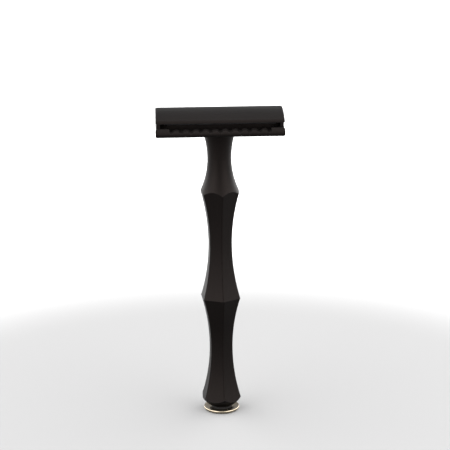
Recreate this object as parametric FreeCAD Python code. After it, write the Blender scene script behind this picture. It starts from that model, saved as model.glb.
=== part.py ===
"""Three-piece double-edge safety razor standing on its foot, in millimetres.

The origin is at the middle of the foot's flat underside. +Z points up the handle to the head, X runs
along the head and the cutting edges, and Y runs across it. Each function builds one physical piece,
in its assembled place, and main() writes each to parts/NODE.step.

From the top: a domed cap with a threaded stud and two locating pins moulded in, a blade bent under it,
a baseplate with a scalloped guard along both sides, and a six-sided handle with a threaded insert at
its top, a weight rod in its bore, and a spacer and a metal foot disc screwed to its lower end.
"""

import FreeCAD, Part
import math
import os

from FreeCAD import Vector

# ---- Driving dimensions -------------------------------------------------------------------------

# Heights of the joints between pieces
FOOT_RIM_Z = 1.2
SPACER_Z = 0.95
HANDLE_BOTTOM_Z = 1.7
HANDLE_TOP_Z = 101.55
PLATE_UNDER_Z = 101.0
GUARD_TOP_Z = 103.9
BLADE_CROWN_Z = 107.15
CAP_CROWN_Z = 109.15

# Head
PLATE_LENGTH = 43.5
PLATE_WIDTH = 24.8
CAP_LENGTH = 43.5
CAP_WIDTH = 21.3
CAP_TOP_RADIUS = 21.0
CAP_SHOULDER_INSET = 0.5
CAP_NOSE_INSET = 0.15
CAP_LIP_INSET = 0.03
CAP_END_FILLET = 0.4
LUG_THICKNESS = 1.1
LUG_INSET = 0.4
LUG_INNER_Y = 7.2
LUG_CLEARANCE = 0.3
LUG_FACE_INSET = 0.1
LUG_FOOT_GAP = 0.05
LUG_COVER = 0.6
PLATE_TOP_CORNER = 0.7
PLATE_LOWER_CORNER = 0.8
BLADE_LENGTH = 43.0
BLADE_WIDTH = 22.0
BLADE_THICKNESS = 0.1
BLADE_BEND_RADIUS = 32.0
BLADE_BED_CLEARANCE = 0.03
BLADE_CAP_CLEARANCE = 0.12
BLADE_BEVEL = 0.6
BLADE_TAB_X = 18.7
BLADE_TAB_HALF = 6.6
BLADE_RELIEF_RADIUS = 0.5
BLADE_SLOT_X = 16.4
BLADE_SLOT_HALF = 1.1
BLADE_SLOT_END_HALF = 2.2
BED_HALF = 8.2
BED_END_INSET = 0.3
FLOOR_DROP = 0.9
BAR_INNER = 10.9
BAR_FACE_RADIUS = 2.6
BAR_TOP_ANGLE = 60
BAR_FRONT_ANGLE = 15
SEAT_RADIUS = 6.2
STUD_HEAD_FLATS = 7.0
STUD_HEAD_HEIGHT = 1.0
STUD_POINT_HEIGHT = 0.6
STUD_HOLE_CLEARANCE = 0.15
PIN_X = 13.3
PIN_RADIUS = 1.5
PIN_CHAMFER = 0.3
PIN_HOLE_CLEARANCE = 0.1

# Slots for lather between the blade's bed and the bars, and hollows under the bed
SLOT_COUNT = 3
SLOT_RIB = 1.6
POCKET_NEAR_X = 8.4
POCKET_FAR_X = 19.2
POCKET_HALF = 7.0
POCKET_DEPTH = 3.2

# Scallops along each safety bar
NOTCH_COUNT = 11
NOTCH_PITCH = 3.29
NOTCH_RADIUS = 0.7
TOOTH_RADIUS = 1.8
NOTCH_SLOPE = 27

# Screw thread that pulls the cap down on the handle
THREAD_RADIUS = 2.5
THREAD_PITCH = 0.8
THREAD_ROOT_RADIUS = 2.03
THREAD_CREST_HALF = 0.05
THREAD_RADIAL_CLEARANCE = 0.07
THREAD_AXIAL_CLEARANCE = 0.04
THREAD_TURNS_ENGAGED = 8
STUD_THREAD_TURNS = 12

# Handle: a hexagon whose flats are hollowed between two knuckles, with a round neck and heel
HEX_TURN = 5.9
HEX_SIDES = 6
KNUCKLE_Z = 41.9
KNUCKLE_FLAT = 6.45
LOWER_WAIST_Z = 23.55
LOWER_WAIST_FLAT = 3.82
UPPER_WAIST_Z = 61.05
UPPER_WAIST_FLAT = 3.89
HEX_END_Z = 3.0
HEX_TOP_Z = 83.55
NECK_WAIST_Z = 91.55
NECK_WAIST_RADIUS = 4.15
NECK_FLARE_RADIUS = 26.0
NECK_TOP_CURVE_RADIUS = 30.0
NECK_JOIN_RADIUS = 7.8
HEEL_MID_RADIUS = 5.8
HEEL_MID_Z = 3.2
HEEL_TOP_Z = 8.4
CORNER_FILLET = 0.6

# Inside the handle
INSERT_RADIUS = 3.4
INSERT_DEPTH = 7.8
KNURL_COUNT = 24
INSERT_TAP_TURNS = 11
ROD_RADIUS = 2.5
ROD_TOP_Z = 89.5
ROD_HOLE_TOP_Z = 9.0
SHANK_RADIUS = 2.0
SHANK_HOLE_RADIUS = 2.05

# Foot
FOOT_RADIUS = 6.35
FOOT_FLAT_RADIUS = 5.7
FOOT_LIP = 0.3
SPACER_RADIUS = 3.6

BEND_Z = BLADE_CROWN_Z - BLADE_BEND_RADIUS
CAP_UNDER_RADIUS = BLADE_BEND_RADIUS + BLADE_THICKNESS / 2 + BLADE_CAP_CLEARANCE
BED_RADIUS = BLADE_BEND_RADIUS - BLADE_THICKNESS / 2 - BLADE_BED_CLEARANCE
CAP_UNDER_Z = BEND_Z + CAP_UNDER_RADIUS
STUD_TIP_Z = HANDLE_TOP_Z - THREAD_TURNS_ENGAGED * THREAD_PITCH
PIN_LOW_Z = GUARD_TOP_Z - 0.3
Z_AXIS = Vector(0, 0, 1)


# ---- Small helpers ------------------------------------------------------------------------------

def cylinder(radius, low, high, x=0.0, y=0.0):
    """An upright cylinder between two heights."""
    return Part.makeCylinder(radius, high - low, Vector(x, y, low))


def box(x0, x1, y0, y1, z0, z1):
    """A box between opposite corners."""
    return Part.makeBox(x1 - x0, y1 - y0, z1 - z0, Vector(x0, y0, z0))


def outline(*edges):
    """A flat face from edges, each a list of two points (a line) or three points (an arc)."""
    made = []
    for points in edges:
        if len(points) == 2:
            made.append(Part.LineSegment(*points).toShape())
        else:
            made.append(Part.Arc(*points).toShape())
    return Part.Face(Part.Wire(made))


def polygon(points):
    """A flat face with straight sides."""
    return Part.Face(Part.makePolygon(list(points) + [points[0]]))


def revolved(face):
    """A face in the XZ plane turned once round the Z axis."""
    return face.revolve(Vector(0, 0, 0), Z_AXIS, 360)


def hexagon_prism(across_flats, low, high):
    """An upright hexagonal prism on the Z axis."""
    corner = across_flats / 2 / math.cos(math.pi / HEX_SIDES)
    points = []
    for i in range(HEX_SIDES):
        angle = math.tau * i / HEX_SIDES
        points.append(Vector(corner * math.cos(angle), corner * math.sin(angle), low))
    return polygon(points).extrude(Vector(0, 0, high - low))


def both_sides(shape):
    """The shape and its mirror image across the XZ plane."""
    return [shape, shape.mirror(Vector(0, 0, 0), Vector(0, 1, 0))]


def arc_height(radius, centre_z, y):
    """Height at y of an arc about an axis along X."""
    return centre_z + math.sqrt(radius ** 2 - y ** 2)


def section_x(face, length):
    """A face in the YZ plane extruded to this length, centred on X."""
    moved = face.translated(Vector(-length / 2, 0, 0))
    return moved.extrude(Vector(length, 0, 0))


def corner_arc(x, z, radius, middle):
    """Quarter arc about (x, z) in the XZ plane, anticlockwise, whose middle is at this angle."""
    angles = [math.radians(middle + turn) for turn in (-45, 0, 45)]
    return [Vector(x + radius * math.cos(a), 0, z + radius * math.sin(a)) for a in angles]


def fillet(shape, radius, wanted):
    """Rounds the edges that wanted() picks."""
    return shape.makeFillet(radius, [e for e in shape.Edges if wanted(e)])


# ---- Screw thread -------------------------------------------------------------------------------

def helical_groove(profile, low, high):
    """A right-hand helical solid with this (radius, height) profile, from low to high."""
    wire = Part.makePolygon([Vector(r, 0, low + z) for r, z in profile + profile[:1]])
    spine = Part.makeHelix(THREAD_PITCH, high - low, THREAD_RADIUS)
    spine.translate(Vector(0, 0, low))
    sweep = Part.BRepOffsetAPI.MakePipeShell(Part.Wire(spine.Edges))
    sweep.setFrenetMode(True)
    sweep.add(wire)
    sweep.build()
    sweep.makeSolid()
    return sweep.shape()


def threaded_rod(low, high, start, turns, radial=0.0, axial=0.0):
    """Rod with the stud's 60 degree thread from start upwards, and plain above it.

    A rod that is larger by the two clearances cuts the hole. Both threads start whole or half turns
    from the stud's tip, so that they mesh.
    """
    crest = THREAD_RADIUS + radial
    root = THREAD_ROOT_RADIUS + radial
    outside = crest + 0.05

    def groove_half(radius):
        ridge_half = THREAD_CREST_HALF + (crest - radius) * math.tan(math.radians(30)) + axial
        return THREAD_PITCH / 2 - ridge_half

    profile = [(root, -groove_half(root)), (outside, -groove_half(outside)),
               (outside, groove_half(outside)), (root, groove_half(root))]
    return cylinder(crest, low, high).cut(helical_groove(profile, start, start + turns * THREAD_PITCH))


# ---- Head ---------------------------------------------------------------------------------------

def cap_stud():
    """Threaded stud. Its hexagonal head is moulded into the cap, so it can't turn there."""
    head_low = CAP_UNDER_Z + 0.25
    head_high = head_low + STUD_HEAD_HEIGHT
    head = hexagon_prism(STUD_HEAD_FLATS, head_low, head_high)
    thread = threaded_rod(STUD_TIP_Z, head_low, STUD_TIP_Z - THREAD_PITCH / 2, STUD_THREAD_TURNS)
    tip_radius = THREAD_ROOT_RADIUS - 0.1
    beyond = THREAD_RADIUS + 0.5
    point_height = STUD_POINT_HEIGHT * (beyond - tip_radius) / (THREAD_RADIUS - tip_radius)
    point = Part.makeCone(tip_radius, beyond, point_height, Vector(0, 0, STUD_TIP_Z))
    envelope = point.fuse(cylinder(beyond, STUD_TIP_Z + point_height, head_high))
    return thread.common(envelope).fuse(head)


def locating_pin(side):
    """Dowel moulded into the cap, which keeps the blade and the baseplate square to it."""
    pin = cylinder(PIN_RADIUS, PIN_LOW_Z, CAP_UNDER_Z + 0.8, x=side * PIN_X)
    lower_rim = [e for e in pin.Edges if abs(e.BoundBox.ZMax - PIN_LOW_Z) < 0.01]
    return pin.makeChamfer(PIN_CHAMFER, lower_rim)


def cap_section():
    """Section of the cap across X: a dome over the blade's curve, with rounded long edges."""
    half = CAP_WIDTH / 2
    centre_z = CAP_CROWN_Z - CAP_TOP_RADIUS
    shoulder = half - CAP_SHOULDER_INSET
    lip = half - CAP_LIP_INSET
    top = [Vector(0, y, arc_height(CAP_TOP_RADIUS, centre_z, y)) for y in (-shoulder, 0, shoulder)]
    under = [Vector(0, y, arc_height(CAP_UNDER_RADIUS, BEND_Z, y)) for y in (lip, 0, -lip)]
    nose_y = half - CAP_NOSE_INSET
    nose_z = (top[2].z + under[0].z) / 2
    return outline(top, [top[2], Vector(0, nose_y, nose_z), under[0]], under,
                   [under[2], Vector(0, -nose_y, nose_z), top[0]])


def cap_corner_lugs():
    """Four lugs that reach down past the blade's cut corners to the ends of the baseplate."""
    outer_x = CAP_LENGTH / 2 - LUG_INSET
    outer_y = CAP_WIDTH / 2 - LUG_FACE_INSET
    low = GUARD_TOP_Z + LUG_FOOT_GAP
    axis_end = Vector(-CAP_LENGTH / 2, 0, CAP_CROWN_Z - CAP_TOP_RADIUS)
    inside_dome = Part.makeCylinder(CAP_TOP_RADIUS - LUG_COVER, CAP_LENGTH, axis_end, Vector(1, 0, 0))
    lugs = []
    for side in (-1, 1):
        x0, x1 = sorted((side * (outer_x - LUG_THICKNESS), side * outer_x))
        lug = box(x0, x1, LUG_INNER_Y, outer_y, low, CAP_CROWN_Z).common(inside_dome)
        lugs += both_sides(lug)
    return lugs


def cap(moulded_in):
    """Domed cap, with cavities for the stud's head and the pins that are moulded in."""
    body = section_x(cap_section(), CAP_LENGTH)

    def end_rim(edge):
        bound = edge.BoundBox
        under_arc = bound.YLength > 1 and bound.ZMax < CAP_UNDER_Z + 0.01
        return bound.XLength < 0.01 and not under_arc

    body = fillet(body, CAP_END_FILLET, end_rim)
    body = body.fuse(cap_corner_lugs())
    return body.cut(moulded_in).removeSplitter()


def blade():
    """Double-edge blade, bent as it is when clamped, with its slot and its cut corners."""
    outer = BLADE_BEND_RADIUS + BLADE_THICKNESS / 2
    inner = BLADE_BEND_RADIUS - BLADE_THICKNESS / 2
    half_angle = BLADE_WIDTH / 2 / BLADE_BEND_RADIUS
    bevel_angle = half_angle - BLADE_BEVEL / BLADE_BEND_RADIUS

    def on_arc(radius, angle):
        return Vector(0, radius * math.sin(angle), BEND_Z + radius * math.cos(angle))

    edge_far = on_arc(BLADE_BEND_RADIUS, half_angle)
    edge_near = on_arc(BLADE_BEND_RADIUS, -half_angle)
    top = [on_arc(outer, a) for a in (-bevel_angle, 0, bevel_angle)]
    under = [on_arc(inner, a) for a in (bevel_angle, 0, -bevel_angle)]
    section = outline(top, [top[2], edge_far], [edge_far, under[0]], under,
                      [under[2], edge_near], [edge_near, top[0]])
    sheet = section_x(section, BLADE_LENGTH)

    low, high = BEND_Z + BLADE_BEND_RADIUS / 2, CAP_CROWN_Z + 1
    cuts = [
        box(-BLADE_SLOT_X, BLADE_SLOT_X, -BLADE_SLOT_HALF, BLADE_SLOT_HALF, low, high),
        cylinder(THREAD_RADIUS + 0.3, low, high),
    ]
    for side in (-1, 1):
        end = side * BLADE_SLOT_X
        cuts.append(cylinder(PIN_RADIUS + 0.25, low, high, x=side * PIN_X))
        cuts.append(box(end - 0.9, end + 0.9, -BLADE_SLOT_END_HALF, BLADE_SLOT_END_HALF, low, high))
        x0, x1 = sorted((side * BLADE_TAB_X, side * (BLADE_LENGTH / 2 + 1)))
        cuts += both_sides(box(x0, x1, BLADE_TAB_HALF, BLADE_WIDTH, low, high))
        relief = cylinder(BLADE_RELIEF_RADIUS, low, high, x=side * BLADE_TAB_X, y=BLADE_TAB_HALF)
        cuts += both_sides(relief)
    return sheet.cut(cuts)


def guard_bar():
    """Safety bar along one long side: a rounded face that leans back, above a tighter lower edge."""
    top, front = math.radians(BAR_TOP_ANGLE), math.radians(BAR_FRONT_ANGLE)
    face_height = BAR_FACE_RADIUS * (math.sin(top) - math.sin(front))
    edge_radius = (GUARD_TOP_Z - face_height - PLATE_UNDER_Z) / (1 + math.sin(front))
    edge_y = -PLATE_WIDTH / 2 + edge_radius
    edge_z = PLATE_UNDER_Z + edge_radius
    face_y = edge_y + (BAR_FACE_RADIUS - edge_radius) * math.cos(front)
    face_z = edge_z - (BAR_FACE_RADIUS - edge_radius) * math.sin(front)

    def arc(y, z, radius, first, last):
        angles = [math.radians(first + share * (last - first)) for share in (0, 0.5, 1)]
        return [Vector(0, y - radius * math.cos(a), z + radius * math.sin(a)) for a in angles]

    face = arc(face_y, face_z, BAR_FACE_RADIUS, BAR_TOP_ANGLE, BAR_FRONT_ANGLE)
    edge = arc(edge_y, edge_z, edge_radius, BAR_FRONT_ANGLE, -90)
    top_back = Vector(0, -BAR_INNER, GUARD_TOP_Z)
    under_back = Vector(0, -BAR_INNER, PLATE_UNDER_Z)
    section = outline([top_back, face[0]], face, edge, [edge[2], under_back], [under_back, top_back])
    return section_x(section, PLATE_LENGTH)


def rounded_ends():
    """Block as long as the plate, with rounded ends, which trims the lands and the bars."""
    top_x = PLATE_LENGTH / 2 - PLATE_TOP_CORNER
    top_z = GUARD_TOP_Z - PLATE_TOP_CORNER
    low_x = PLATE_LENGTH / 2 - PLATE_LOWER_CORNER
    low_z = PLATE_UNDER_Z + PLATE_LOWER_CORNER
    arcs = [
        corner_arc(low_x, low_z, PLATE_LOWER_CORNER, -45),
        corner_arc(top_x, top_z, PLATE_TOP_CORNER, 45),
        corner_arc(-top_x, top_z, PLATE_TOP_CORNER, 135),
        corner_arc(-low_x, low_z, PLATE_LOWER_CORNER, -135),
    ]
    edges = []
    for i, arc in enumerate(arcs):
        following = arcs[(i + 1) % len(arcs)]
        edges += [arc, [arc[2], following[0]]]
    face = outline(*edges).translated(Vector(0, -PLATE_WIDTH, 0))
    return face.extrude(Vector(0, 2 * PLATE_WIDTH, 0))


def scallop_wave():
    """Cutter for one side's scallops: rounded notches between rounded teeth, sloping to the front."""
    reach = NOTCH_RADIUS + TOOTH_RADIUS
    rise = math.sqrt(reach ** 2 - (NOTCH_PITCH / 2) ** 2)
    share = NOTCH_RADIUS / reach
    bottom = -(reach - rise)
    notch_z = bottom + NOTCH_RADIUS
    tangent_z = notch_z - share * rise
    tangent_x = share * NOTCH_PITCH / 2
    first = -(NOTCH_COUNT - 1) / 2 * NOTCH_PITCH
    above = 3.0
    length = 5.0

    edges = []
    left = Vector(first - NOTCH_RADIUS, 0, above)
    here = Vector(first - NOTCH_RADIUS, 0, notch_z)
    edges.append([left, here])
    for i in range(NOTCH_COUNT):
        x = first + i * NOTCH_PITCH
        last = i == NOTCH_COUNT - 1
        leave = Vector(x + NOTCH_RADIUS, 0, notch_z) if last else Vector(x + tangent_x, 0, tangent_z)
        edges.append([here, Vector(x, 0, bottom), leave])
        here = leave
        if not last:
            arrive = Vector(x + NOTCH_PITCH - tangent_x, 0, tangent_z)
            edges.append([here, Vector(x + NOTCH_PITCH / 2, 0, 0), arrive])
            here = arrive
    right = Vector(here.x, 0, above)
    edges += [[here, right], [right, left]]
    slope = math.radians(NOTCH_SLOPE)
    start = Vector(0, -BAR_INNER + 0.4, GUARD_TOP_Z)
    forward = Vector(0, -length * math.cos(slope), -length * math.sin(slope))
    return outline(*edges).translated(start).extrude(forward)


def lather_slots():
    """Slots through the plate between the blade's bed and the bar, with ribs between them."""
    half = (NOTCH_COUNT - 1) / 2 * NOTCH_PITCH + 0.9
    length = (2 * half - (SLOT_COUNT - 1) * SLOT_RIB) / SLOT_COUNT
    low, high = PLATE_UNDER_Z - 1, GUARD_TOP_Z - 0.1
    slots = []
    for i in range(SLOT_COUNT):
        x0 = -half + i * (length + SLOT_RIB)
        slots.append(box(x0, x0 + length, -BAR_INNER, -BED_HALF - 0.1, low, high))
    return slots


def underside_pockets():
    """Hollows under the bed on both sides of the boss, as a moulding of even thickness has."""
    low, high = PLATE_UNDER_Z - 1, PLATE_UNDER_Z + POCKET_DEPTH
    pockets = []
    for side in (-1, 1):
        x0, x1 = sorted((side * POCKET_NEAR_X, side * POCKET_FAR_X))
        pockets.append(box(x0, x1, -POCKET_HALF, POCKET_HALF, low, high))
    return pockets


def lug_clearances():
    """Spaces at the bed's four corners for the cap's lugs."""
    spaces = []
    for side in (-1, 1):
        inner_x = CAP_LENGTH / 2 - LUG_INSET - LUG_THICKNESS - LUG_CLEARANCE
        x0, x1 = sorted((side * inner_x, side * PLATE_LENGTH))
        inner_y = LUG_INNER_Y - LUG_CLEARANCE
        spaces += both_sides(box(x0, x1, inner_y, PLATE_WIDTH, GUARD_TOP_Z, CAP_CROWN_Z))
    return spaces


def baseplate():
    """Baseplate: curved bed for the blade, slots, guard bars, and a seat for the handle."""
    bed_z = arc_height(BED_RADIUS, BEND_Z, BED_HALF)
    floor_top = GUARD_TOP_Z - FLOOR_DROP
    bed = outline(
        [Vector(0, -BED_HALF, bed_z), Vector(0, 0, BEND_Z + BED_RADIUS), Vector(0, BED_HALF, bed_z)],
        [Vector(0, BED_HALF, bed_z), Vector(0, BED_HALF, PLATE_UNDER_Z)],
        [Vector(0, BED_HALF, PLATE_UNDER_Z), Vector(0, -BED_HALF, PLATE_UNDER_Z)],
        [Vector(0, -BED_HALF, PLATE_UNDER_Z), Vector(0, -BED_HALF, bed_z)],
    )
    plate = section_x(bed, BLADE_LENGTH - 2 * BED_END_INSET)
    floor = box(-PLATE_LENGTH / 2, PLATE_LENGTH / 2, -BAR_INNER, BAR_INNER, PLATE_UNDER_Z, floor_top)
    land_inner = (NOTCH_COUNT - 1) / 2 * NOTCH_PITCH + 2 * NOTCH_RADIUS
    lands = []
    for side in (-1, 1):
        x0, x1 = sorted((side * land_inner, side * PLATE_LENGTH / 2))
        lands.append(box(x0, x1, -BAR_INNER, BAR_INNER, PLATE_UNDER_Z, GUARD_TOP_Z))
    plate = plate.fuse(floor.fuse(lands + both_sides(guard_bar())).common(rounded_ends()))
    cuts = []
    for cut in [scallop_wave()] + lather_slots():
        cuts += both_sides(cut)
    cuts += underside_pockets() + lug_clearances()
    cuts.append(cylinder(SEAT_RADIUS, PLATE_UNDER_Z - 1, HANDLE_TOP_Z))
    cuts.append(cylinder(THREAD_RADIUS + STUD_HOLE_CLEARANCE, PLATE_UNDER_Z - 1, CAP_CROWN_Z))
    for side in (-1, 1):
        pin_hole = PIN_RADIUS + PIN_HOLE_CLEARANCE
        cuts.append(cylinder(pin_hole, PLATE_UNDER_Z - 1, CAP_CROWN_Z, x=side * PIN_X))
    return plate.cut(cuts).removeSplitter()


# ---- Handle -------------------------------------------------------------------------------------

def waist_arc(flat, waist_z, knuckle_flat, knuckle_z):
    """Radius of the hollow that goes through a waist and a knuckle."""
    rise = knuckle_flat - flat
    run = knuckle_z - waist_z
    return (run ** 2 + rise ** 2) / (2 * rise)


def hollow_at(z, flat, waist_z, radius):
    """Distance of a hollowed flat from the axis at height z."""
    return flat + radius - math.sqrt(radius ** 2 - (z - waist_z) ** 2)


def flat_pair():
    """Two opposite flats of the handle, as one slab hollowed on both faces."""
    lower = waist_arc(LOWER_WAIST_FLAT, LOWER_WAIST_Z, KNUCKLE_FLAT, KNUCKLE_Z)
    upper = waist_arc(UPPER_WAIST_FLAT, UPPER_WAIST_Z, KNUCKLE_FLAT, KNUCKLE_Z)

    def side(sign):
        low_flat = hollow_at(HEX_END_Z, LOWER_WAIST_FLAT, LOWER_WAIST_Z, lower)
        high_flat = hollow_at(HEX_TOP_Z, UPPER_WAIST_FLAT, UPPER_WAIST_Z, upper)
        return [
            Vector(sign * low_flat, 0, HANDLE_BOTTOM_Z),
            Vector(sign * low_flat, 0, HEX_END_Z),
            Vector(sign * LOWER_WAIST_FLAT, 0, LOWER_WAIST_Z),
            Vector(sign * KNUCKLE_FLAT, 0, KNUCKLE_Z),
            Vector(sign * UPPER_WAIST_FLAT, 0, UPPER_WAIST_Z),
            Vector(sign * high_flat, 0, HEX_TOP_Z),
            Vector(sign * high_flat, 0, HANDLE_TOP_Z),
        ]

    r, l = side(1), side(-1)
    face = outline([r[0], r[1]], [r[1], r[2], r[3]], [r[3], r[4], r[5]], [r[5], r[6]], [r[6], l[6]],
                   [l[6], l[5]], [l[5], l[4], l[3]], [l[3], l[2], l[1]], [l[1], l[0]], [l[0], r[0]])
    reach = 2 * KNUCKLE_FLAT
    return face.translated(Vector(0, -reach, 0)).extrude(Vector(0, 2 * reach, 0))


def handle_envelope():
    """Round limits of the handle: the neck above the hexagon and the rounded chamfer at its foot."""
    def flare(radius_at, waist_radius, curve):
        return math.sqrt(curve ** 2 - (waist_radius + curve - radius_at) ** 2)

    join_z = NECK_WAIST_Z - flare(NECK_JOIN_RADIUS, NECK_WAIST_RADIUS, NECK_FLARE_RADIUS)
    half_run = (NECK_WAIST_Z - join_z) / 2
    mid_flare = hollow_at(NECK_WAIST_Z - half_run, NECK_WAIST_RADIUS, NECK_WAIST_Z, NECK_FLARE_RADIUS)
    top_radius = hollow_at(HANDLE_TOP_Z, NECK_WAIST_RADIUS, NECK_WAIST_Z, NECK_TOP_CURVE_RADIUS)
    mid_z = (NECK_WAIST_Z + HANDLE_TOP_Z) / 2
    mid_top = hollow_at(mid_z, NECK_WAIST_RADIUS, NECK_WAIST_Z, NECK_TOP_CURVE_RADIUS)
    axis_low = Vector(0, 0, HANDLE_BOTTOM_Z)
    foot_edge = Vector(SPACER_RADIUS + 0.1, 0, HANDLE_BOTTOM_Z)
    foot_mid = Vector(HEEL_MID_RADIUS, 0, HEEL_MID_Z)
    foot_top = Vector(NECK_JOIN_RADIUS, 0, HEEL_TOP_Z)
    neck_start = Vector(NECK_JOIN_RADIUS, 0, join_z)
    waist = Vector(NECK_WAIST_RADIUS, 0, NECK_WAIST_Z)
    top_edge = Vector(top_radius, 0, HANDLE_TOP_Z)
    axis_high = Vector(0, 0, HANDLE_TOP_Z)
    return revolved(outline(
        [axis_low, foot_edge], [foot_edge, foot_mid, foot_top], [foot_top, neck_start],
        [neck_start, Vector(mid_flare, 0, NECK_WAIST_Z - half_run), waist],
        [waist, Vector(mid_top, 0, mid_z), top_edge], [top_edge, axis_high], [axis_high, axis_low]))


def hexagon_body():
    """Solid hexagonal body: the common part of three slabs, with its six long corners rounded."""
    slabs = []
    for i in range(HEX_SIDES // 2):
        slab = flat_pair()
        slab.rotate(Vector(0, 0, 0), Z_AXIS, HEX_TURN + i * 360 / HEX_SIDES)
        slabs.append(slab)
    body = slabs[0].common(slabs[1]).common(slabs[2])

    def long_corner(edge):
        bound = edge.BoundBox
        return bound.ZLength > 10 and bound.ZMax <= HEX_TOP_Z + 0.1

    return fillet(body, CORNER_FILLET, long_corner)


def handle():
    """Handle with a pocket for the threaded insert above and a bore for the weight rod below."""
    body = hexagon_body().common(handle_envelope())
    insert_pocket = cylinder(INSERT_RADIUS, HANDLE_TOP_Z - INSERT_DEPTH, HANDLE_TOP_Z + 1)
    rod_bore = cylinder(ROD_RADIUS, HANDLE_BOTTOM_Z - 1, ROD_TOP_Z)
    return body.cut([insert_pocket, rod_bore])


def thread_insert():
    """Knurled insert in the top of the handle, with the internal thread for the stud."""
    low = HANDLE_TOP_Z - INSERT_DEPTH
    top = HANDLE_TOP_Z - 0.1
    body = cylinder(INSERT_RADIUS, low, top)
    knurl = []
    groove_bottom = Vector(INSERT_RADIUS - 0.22, 0, low)
    groove_mouth = [Vector(INSERT_RADIUS + 0.1, side * 0.3, low) for side in (-1, 1)]
    for i in range(KNURL_COUNT):
        groove = polygon([groove_bottom] + groove_mouth).extrude(Vector(0, 0, top - low))
        groove.rotate(Vector(0, 0, 0), Z_AXIS, i * 360 / KNURL_COUNT)
        knurl.append(groove)
    ring = cylinder(INSERT_RADIUS + 1, low + 3.2, low + 4.2)
    ring = ring.cut(cylinder(INSERT_RADIUS - 0.3, low, top))
    tap = threaded_rod(STUD_TIP_Z - 0.6, top + 4, STUD_TIP_Z - 1.5 * THREAD_PITCH,
                       INSERT_TAP_TURNS, THREAD_RADIAL_CLEARANCE, THREAD_AXIAL_CLEARANCE)
    mouth = Part.makeCone(THREAD_ROOT_RADIUS, THREAD_RADIUS + 0.3, 0.7, Vector(0, 0, top - 0.6))
    return body.cut(knurl + [ring]).cut(tap).cut(mouth)


def core_rod():
    """Weight rod in the handle's bore. Its tapped lower end takes the foot's shank."""
    rod = cylinder(ROD_RADIUS, HANDLE_BOTTOM_Z + 0.4, ROD_TOP_Z - 0.3)
    return rod.cut(cylinder(SHANK_HOLE_RADIUS, HANDLE_BOTTOM_Z - 1, ROD_HOLE_TOP_Z))


def foot_spacer():
    """Black collar between the handle and the foot disc."""
    ring = cylinder(SPACER_RADIUS, SPACER_Z, HANDLE_BOTTOM_Z)
    return ring.cut(cylinder(SHANK_HOLE_RADIUS, 0, HANDLE_BOTTOM_Z + 1))


def foot_disc():
    """Dished metal disc with a threaded shank, the face that the razor stands on."""
    axis_low = Vector(0, 0, 0)
    flat_edge = Vector(FOOT_FLAT_RADIUS, 0, 0)
    widest = Vector(FOOT_RADIUS, 0, FOOT_RIM_Z - FOOT_LIP)
    rim_inner = Vector(FOOT_RADIUS - FOOT_LIP, 0, FOOT_RIM_Z)
    dish_edge = Vector(SPACER_RADIUS, 0, SPACER_Z)
    axis_high = Vector(0, 0, SPACER_Z)
    disc = revolved(outline(
        [axis_low, flat_edge],
        [flat_edge, Vector(FOOT_RADIUS - 0.2, 0, 0.4), widest],
        [widest, Vector(FOOT_RADIUS - 0.1, 0, FOOT_RIM_Z - 0.07), rim_inner],
        [rim_inner, Vector(5.2, 0, 1.02), dish_edge],
        [dish_edge, axis_high],
        [axis_high, axis_low],
    ))
    shank = cylinder(SHANK_RADIUS, SPACER_Z - 0.1, ROD_HOLE_TOP_Z - 0.5)
    return disc.fuse(shank).removeSplitter()


def main():
    os.makedirs("parts", exist_ok=True)
    stud = cap_stud()
    pins = {"locating_pin_left": locating_pin(-1), "locating_pin_right": locating_pin(1)}
    stud_head = stud.common(box(-6, 6, -6, 6, CAP_UNDER_Z - 0.5, CAP_CROWN_Z))
    nodes = {
        "cap": cap([stud_head] + list(pins.values())),
        "cap_stud": stud,
        "blade": blade(),
        "baseplate": baseplate(),
        "handle": handle(),
        "thread_insert": thread_insert(),
        "core_rod": core_rod(),
        "foot_spacer": foot_spacer(),
        "foot_disc": foot_disc(),
        **pins,
    }
    for name, shape in nodes.items():
        shape.exportStep(f"parts/{name}.step")
        print(f"{name}: {len(shape.Solids)} solid, {shape.Volume:.1f} mm3, valid {shape.isValid()}")


main()
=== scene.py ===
import math

import bpy
from mathutils import Matrix, Vector


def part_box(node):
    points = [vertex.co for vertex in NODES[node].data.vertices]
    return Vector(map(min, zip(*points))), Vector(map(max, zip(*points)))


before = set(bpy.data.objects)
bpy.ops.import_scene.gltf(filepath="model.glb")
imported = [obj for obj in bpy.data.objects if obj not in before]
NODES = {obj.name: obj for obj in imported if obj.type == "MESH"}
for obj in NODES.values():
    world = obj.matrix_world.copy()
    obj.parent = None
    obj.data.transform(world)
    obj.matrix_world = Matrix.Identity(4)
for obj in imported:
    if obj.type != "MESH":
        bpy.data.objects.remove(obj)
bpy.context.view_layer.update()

MM = 0.001


# ---- Camera -------------------------------------------------------------------------------------

CAMERA_DISTANCE = 500 * MM
CAMERA_HEIGHT = 194.65 * MM
AIM_HEIGHT = 67.75 * MM
CAMERA_AZIMUTH = math.radians(-2.6)
CAMERA_ROLL = math.radians(-0.5)
CAMERA_SIDESTEP = 1.75 * MM
CAMERA_LENS = 118.7
CAMERA_SENSOR = 36
CAMERA_NEAR = 0.05
CAMERA_FAR = 20


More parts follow.
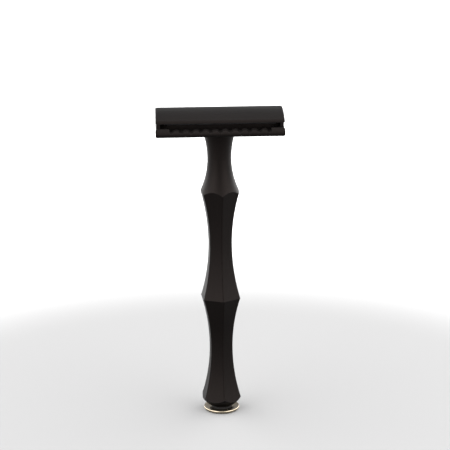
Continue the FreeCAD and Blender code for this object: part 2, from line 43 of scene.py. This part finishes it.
def make_camera():
    """Camera at the photograph's viewing angle: slightly from above, nearly square to the head."""
    data = bpy.data.cameras.new("camera")
    data.lens = CAMERA_LENS
    data.sensor_width = CAMERA_SENSOR
    data.clip_start = CAMERA_NEAR
    data.clip_end = CAMERA_FAR
    camera = bpy.data.objects.new("camera", data)
    bpy.context.scene.collection.objects.link(camera)
    right = Vector((math.cos(CAMERA_AZIMUTH), math.sin(CAMERA_AZIMUTH), 0))
    away = Vector((math.sin(CAMERA_AZIMUTH), -math.cos(CAMERA_AZIMUTH), 0))
    step = right * CAMERA_SIDESTEP
    camera.location = away * CAMERA_DISTANCE + Vector((0, 0, CAMERA_HEIGHT)) + step
    aim = Vector((0, 0, AIM_HEIGHT)) + step
    turn = (aim - camera.location).to_track_quat("-Z", "Y").to_matrix().to_4x4()
    turn = turn @ Matrix.Rotation(CAMERA_ROLL, 4, "Z")
    camera.rotation_euler = turn.to_euler()
    bpy.context.scene.camera = camera


# ---- Node trees ---------------------------------------------------------------------------------

# The colour sockets of a Mix node, whose names are those of its other sockets too
MIX_A = 6
MIX_B = 7
MIX_RESULT = 2

EDGE_SAMPLES = 6
EDGE_LIKENESS = (0.995, 0.90)
RECESS_SAMPLES = 6
RECESS_OPENNESS = (0.2, 0.75)


class Tree:
    """Short calls for building a node tree. Apart from add and put, each returns an output."""

    def __init__(self, tree):
        self.tree = tree

    def add(self, kind, **values):
        """Adds a node of this kind, with these settings."""
        node = self.tree.nodes.new(kind)
        for key, value in values.items():
            setattr(node, key, value)
        return node

    def put(self, socket, value):
        """Sets an input to a number, vector or colour, or links it to an output."""
        if isinstance(value, bpy.types.NodeSocket):
            self.tree.links.new(value, socket)
        else:
            socket.default_value = value

    def math(self, operation, a, b=0.0):
        node = self.add("ShaderNodeMath", operation=operation)
        self.put(node.inputs[0], a)
        self.put(node.inputs[1], b)
        return node.outputs[0]

    def vector(self, operation, a, b=(0, 0, 0)):
        """Vector operation. A dot product and a length come back as a number."""
        node = self.add("ShaderNodeVectorMath", operation=operation)
        self.put(node.inputs[0], a)
        self.put(node.inputs[1], b)
        return node.outputs["Value" if operation in ("DOT_PRODUCT", "LENGTH") else "Vector"]

    def remap(self, value, low, high, to_low, to_high, kind="LINEAR"):
        """Spreads low..high over to_low..to_high, and holds the ends."""
        node = self.add("ShaderNodeMapRange", interpolation_type=kind)
        self.put(node.inputs["Value"], value)
        for key, number in (("From Min", low), ("From Max", high), ("To Min", to_low), ("To Max", to_high)):
            node.inputs[key].default_value = number
        return node.outputs["Result"]


class Material(Tree):
    """A new material with a Principled shader, and the patterns that materials are made from."""

    def __init__(self, name):
        self.material = bpy.data.materials.new(name)
        self.material.use_nodes = True
        super().__init__(self.material.node_tree)
        self.shader = self.tree.nodes["Principled BSDF"]
        self.coords = self.add("ShaderNodeTexCoord").outputs["Object"]

    def set(self, name, value):
        """Sets or links one of the shader's inputs."""
        self.put(self.shader.inputs[name], value)

    def noise(self, scale, octaves, stretch=None):
        node = self.add("ShaderNodeTexNoise")
        vector = self.vector("MULTIPLY", self.coords, stretch) if stretch else self.coords
        self.put(node.inputs["Vector"], vector)
        node.inputs["Scale"].default_value = scale
        node.inputs["Detail"].default_value = octaves
        return node.outputs["Fac"]

    def mix(self, factor, a, b):
        """Mix of two colours, each of them three numbers or an output."""
        node = self.add("ShaderNodeMix", data_type="RGBA")
        self.put(node.inputs["Factor"], factor)
        for socket, colour in ((node.inputs[MIX_A], a), (node.inputs[MIX_B], b)):
            self.put(socket, (*colour, 1) if isinstance(colour, tuple) else colour)
        return node.outputs[MIX_RESULT]

    def bump(self, height, distance, normal=None):
        """Normal over these heights, on top of another normal if there is one."""
        node = self.add("ShaderNodeBump")
        node.inputs["Distance"].default_value = distance
        self.put(node.inputs["Height"], height)
        if normal:
            self.put(node.inputs["Normal"], normal)
        return node.outputs["Normal"]

    def edges(self, radius):
        """1 along convex and concave edges within this radius, and 0 on smooth surfaces."""
        bevel = self.add("ShaderNodeBevel", samples=EDGE_SAMPLES)
        bevel.inputs["Radius"].default_value = radius
        true = self.add("ShaderNodeNewGeometry").outputs["Normal"]
        likeness = self.vector("DOT_PRODUCT", bevel.outputs["Normal"], true)
        return self.remap(likeness, *EDGE_LIKENESS, 0.0, 1.0)

    def recesses(self, reach):
        """1 deep in narrow gaps, where other faces stand within this reach, and 0 in the open."""
        openness = self.add("ShaderNodeAmbientOcclusion", samples=RECESS_SAMPLES)
        openness.inputs["Distance"].default_value = reach
        return self.remap(openness.outputs["AO"], *RECESS_OPENNESS, 1.0, 0.0)


# ---- Studio -------------------------------------------------------------------------------------

FLOOR_HALF = 12.0
# The floor's grey is darker out to FLOOR_NEAR_END round the object and paler past FLOOR_FAR_START. The
# darker ground is painted shade round the object, and it also darkens what the object's lower faces
# reflect.
FLOOR_NEAR_END = 110 * MM
FLOOR_FAR_START = 260 * MM
FLOOR_PAINTED_SHADE_GREY = 0.14
FLOOR_FAR_GREY = 0.4
FLOOR_ROUGHNESS = 0.7
FLOOR_SPECULAR = 0.2

# Light from the surroundings: its strengths, and how closely a direction has to follow an axis
# for the light along that axis to begin and to be full
SKY_COLOUR = (1, 1, 1, 1)
SKY_BASE = 0.6
SKY_OVERHEAD = 2.7
OVERHEAD_AXIS = (0, -0.4, 0.92)
OVERHEAD_RANGE = (0.45, 0.85)
SKY_SIDES = 6.4
SIDES_AXIS = (1, 0, 0)
SIDES_RANGE = (0.15, 0.6)
SIDES_FADE = (0.995, 0.93)


def make_world():
    """Soft surroundings: bright overhead and to both sides, dim in front, behind and straight sideways."""
    world = bpy.data.worlds.new("studio")
    world.use_nodes = True
    t = Tree(world.node_tree)
    direction = t.add("ShaderNodeTexCoord").outputs["Generated"]
    upward = t.vector("DOT_PRODUCT", direction, OVERHEAD_AXIS)
    sideways = t.vector("DOT_PRODUCT", t.vector("ABSOLUTE", direction), SIDES_AXIS)
    overhead = t.remap(upward, *OVERHEAD_RANGE, 0.0, SKY_OVERHEAD, "SMOOTHSTEP")
    sides = t.remap(sideways, *SIDES_RANGE, 0.0, SKY_SIDES, "SMOOTHSTEP")
    fade = t.remap(sideways, *SIDES_FADE, 0.0, 1.0, "SMOOTHSTEP")
    light = t.math("ADD", overhead, t.math("MULTIPLY", sides, fade))
    background = world.node_tree.nodes["Background"]
    background.inputs["Color"].default_value = SKY_COLOUR
    t.put(background.inputs["Strength"], t.math("ADD", light, SKY_BASE))
    bpy.context.scene.world = world


def make_floor():
    """Pale floor with painted shade round the place where the object stands, paler beyond it."""
    mesh = bpy.data.meshes.new("floor")
    r = FLOOR_HALF
    mesh.from_pydata([(-r, -r, 0), (r, -r, 0), (r, r, 0), (-r, r, 0)], [], [(0, 1, 2, 3)])
    floor = bpy.data.objects.new("floor", mesh)
    bpy.context.scene.collection.objects.link(floor)
    m = Material("pale_floor")
    distance = m.vector("LENGTH", m.coords)
    away = m.remap(distance, FLOOR_NEAR_END, FLOOR_FAR_START, 0.0, 1.0, "SMOOTHSTEP")
    # painted shade: the darker floor grey round the object
    m.set("Base Color", m.mix(away, (FLOOR_PAINTED_SHADE_GREY,) * 3, (FLOOR_FAR_GREY,) * 3))
    m.set("Roughness", FLOOR_ROUGHNESS)
    m.set("Specular IOR Level", FLOOR_SPECULAR)
    mesh.materials.append(m.material)


def make_studio():
    """Pale floor under soft light from overhead and both sides."""
    make_world()
    make_floor()
    bpy.context.scene.view_settings.view_transform = "Standard"


# ---- Materials ----------------------------------------------------------------------------------

# Octaves of a noise pattern
FEW = 2
SOME = 3
MANY = 4

# Parts of a noise pattern's values, which are spread over a range of colour, gloss or wear
WIDE = (0.3, 0.7)
MIDDLE = (0.35, 0.65)
UPPER = (0.4, 0.7)

BLACK = (0.0005, 0.0004, 0.0004)
BLACK_ROUGHNESS = 0.44
SPACER_BLACK = (0.008, 0.008, 0.008)
SPACER_ROUGHNESS = 0.6
BLACK_SPECULAR = 0.065
BLACK_TINT = (1.0, 0.82, 0.76, 1)
BLACK_LIGHTENING = 1.35
HANDLING_SCALE = 45
HANDLING_SPREAD = 0.05
GRAIN_SCALE = 5200
GRAIN_DEPTH = 0.004 * MM
GRAIN_SPREAD = 0.04
PEEL_SCALE = 700
PEEL_DEPTH = 0.006 * MM
RECESS_REACH = 2.5 * MM
RECESS_DULLING = 0.5
WEAR_WIDTH = 0.25 * MM
WEAR_SCALE = 260
WEAR_LEAST = 0.15
WEAR_COLOUR = (0.055, 0.053, 0.052)
WEAR_COVER = 0.12
WEAR_POLISH = 0.08

STEEL = (0.30, 0.30, 0.305)
BRASS = (0.42, 0.31, 0.15)
TURNED_ROUGHNESS = 0.32
FOOT_METAL = (0.246, 0.208, 0.154)
FOOT_ROUGHNESS = 0.16
TURNING_SCALE = 1500
TURNING_STRETCH = (1, 1, 14)
TURNING_DEPTH = 0.003 * MM
FOOT_TURNING_DEPTH = 0.001 * MM
TURNING_SMOOTHER = 0.04
TURNING_ROUGHER = 0.06
STAIN_SCALE = 300
STAIN_DARKENING = 0.82
STAIN_COVER = 0.7
STAIN_DULLING = 0.06

# Blade colours are kept very dark as painted shade for the gap between cap and guard, where the blade's
# edges show. The coating along both cutting edges is darkest.
BLADE_STEEL_SHADED = (0.06, 0.06, 0.062)
BLADE_COATING_SHADED = (0.03, 0.03, 0.032)
COATING_BEGINS = 0.9 * MM
COATING_FULL = 0.7 * MM
BLADE_ROUGHNESS = (0.26, 0.40)
GRINDING_SCALE = 900
GRINDING_STRETCH = (0.06, 6, 6)
GRINDING_DEPTH = 0.002 * MM
TINT_SCALE = 120
TINT_DARKENING = 0.75


def shade(colour, factor):
    """The colour made darker or lighter by this factor."""
    return tuple(c * factor for c in colour)


def black_moulding(name, colour, roughness):
    """Satin black moulded plastic: fine grain, gloss uneven from handling, dull recesses, worn edges."""
    m = Material(name)
    handling = m.noise(HANDLING_SCALE, FEW)
    grain = m.noise(GRAIN_SCALE, FEW)
    peel = m.noise(PEEL_SCALE, FEW)
    recess = m.recesses(RECESS_REACH)
    patches = m.remap(m.noise(WEAR_SCALE, MANY), *MIDDLE, WEAR_LEAST, 1.0)
    wear = m.math("MULTIPLY", m.edges(WEAR_WIDTH), patches)
    wear = m.math("MULTIPLY", wear, m.math("SUBTRACT", 1.0, recess))
    base = m.mix(m.remap(handling, *MIDDLE, 0.0, 1.0), colour, shade(colour, BLACK_LIGHTENING))
    m.set("Base Color", m.mix(m.math("MULTIPLY", wear, WEAR_COVER), base, WEAR_COLOUR))
    rough = m.remap(handling, *WIDE, roughness - HANDLING_SPREAD, roughness + HANDLING_SPREAD)
    rough = m.math("ADD", rough, m.remap(grain, *WIDE, -GRAIN_SPREAD, GRAIN_SPREAD))
    rough = m.math("SUBTRACT", rough, m.math("MULTIPLY", wear, WEAR_POLISH))
    m.set("Roughness", m.math("ADD", rough, m.math("MULTIPLY", recess, RECESS_DULLING)))
    m.set("Normal", m.bump(grain, GRAIN_DEPTH, m.bump(peel, PEEL_DEPTH)))
    m.set("Specular IOR Level", BLACK_SPECULAR)
    m.set("Specular Tint", BLACK_TINT)
    return m.material


def turned_metal(name, colour, roughness, depth):
    """Metal with fine turning marks of this depth, and slight tarnish."""
    m = Material(name)
    m.set("Metallic", 1.0)
    marks = m.noise(TURNING_SCALE, SOME, TURNING_STRETCH)
    stain = m.noise(STAIN_SCALE, MANY)
    cover = m.remap(stain, *UPPER, 0.0, STAIN_COVER)
    m.set("Base Color", m.mix(cover, colour, shade(colour, STAIN_DARKENING)))
    rough = m.remap(marks, *WIDE, roughness - TURNING_SMOOTHER, roughness + TURNING_ROUGHER)
    m.set("Roughness", m.math("ADD", rough, m.remap(stain, *UPPER, 0.0, STAIN_DULLING)))
    m.set("Normal", m.bump(marks, depth))
    return m.material


def ground_blade(name):
    """Blade steel with fine grinding lines along the edge, and a dark coating along both cutting edges.
    Steel and coating are kept very dark as painted shade for the gap between cap and guard, where the edges
    show.
    """
    m = Material(name)
    m.set("Metallic", 1.0)
    lines = m.noise(GRINDING_SCALE, SOME, GRINDING_STRETCH)
    tint = m.remap(m.noise(TINT_SCALE, SOME), *MIDDLE, 0.0, 1.0)
    flat = m.mix(tint, BLADE_STEEL_SHADED, shade(BLADE_STEEL_SHADED, TINT_DARKENING))
    place = m.add("ShaderNodeSeparateXYZ")
    m.put(place.inputs[0], m.coords)
    across = m.math("ABSOLUTE", place.outputs["Y"])
    edge_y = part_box("blade")[1][1]
    # painted shade and coating: the band along both cutting edges, which shows in the gap between cap and
    # guard, is darkest
    coated_and_shaded = m.remap(across, edge_y - COATING_BEGINS, edge_y - COATING_FULL, 0.0, 1.0)
    m.set("Base Color", m.mix(coated_and_shaded, flat, BLADE_COATING_SHADED))
    m.set("Roughness", m.remap(lines, *WIDE, *BLADE_ROUGHNESS))
    m.set("Normal", m.bump(lines, GRINDING_DEPTH))
    return m.material


def assign(node, material):
    """Gives a CAD node this material all over."""
    slots = NODES[node].data.materials
    if not slots:
        slots.append(material)
    for i in range(len(slots)):
        slots[i] = material


def finish_cad_nodes():
    black = black_moulding("black_moulding", BLACK, BLACK_ROUGHNESS)
    for node in ("cap", "baseplate", "handle"):
        assign(node, black)
    assign("foot_spacer", black_moulding("spacer_black", SPACER_BLACK, SPACER_ROUGHNESS))
    steel = turned_metal("turned_steel", STEEL, TURNED_ROUGHNESS, TURNING_DEPTH)
    for node in ("cap_stud", "locating_pin_left", "locating_pin_right", "core_rod"):
        assign(node, steel)
    assign("thread_insert", turned_metal("insert_brass", BRASS, TURNED_ROUGHNESS, TURNING_DEPTH))
    assign("foot_disc", turned_metal("foot_metal", FOOT_METAL, FOOT_ROUGHNESS, FOOT_TURNING_DEPTH))
    assign("blade", ground_blade("blade_steel"))


make_camera()
make_studio()
finish_cad_nodes()
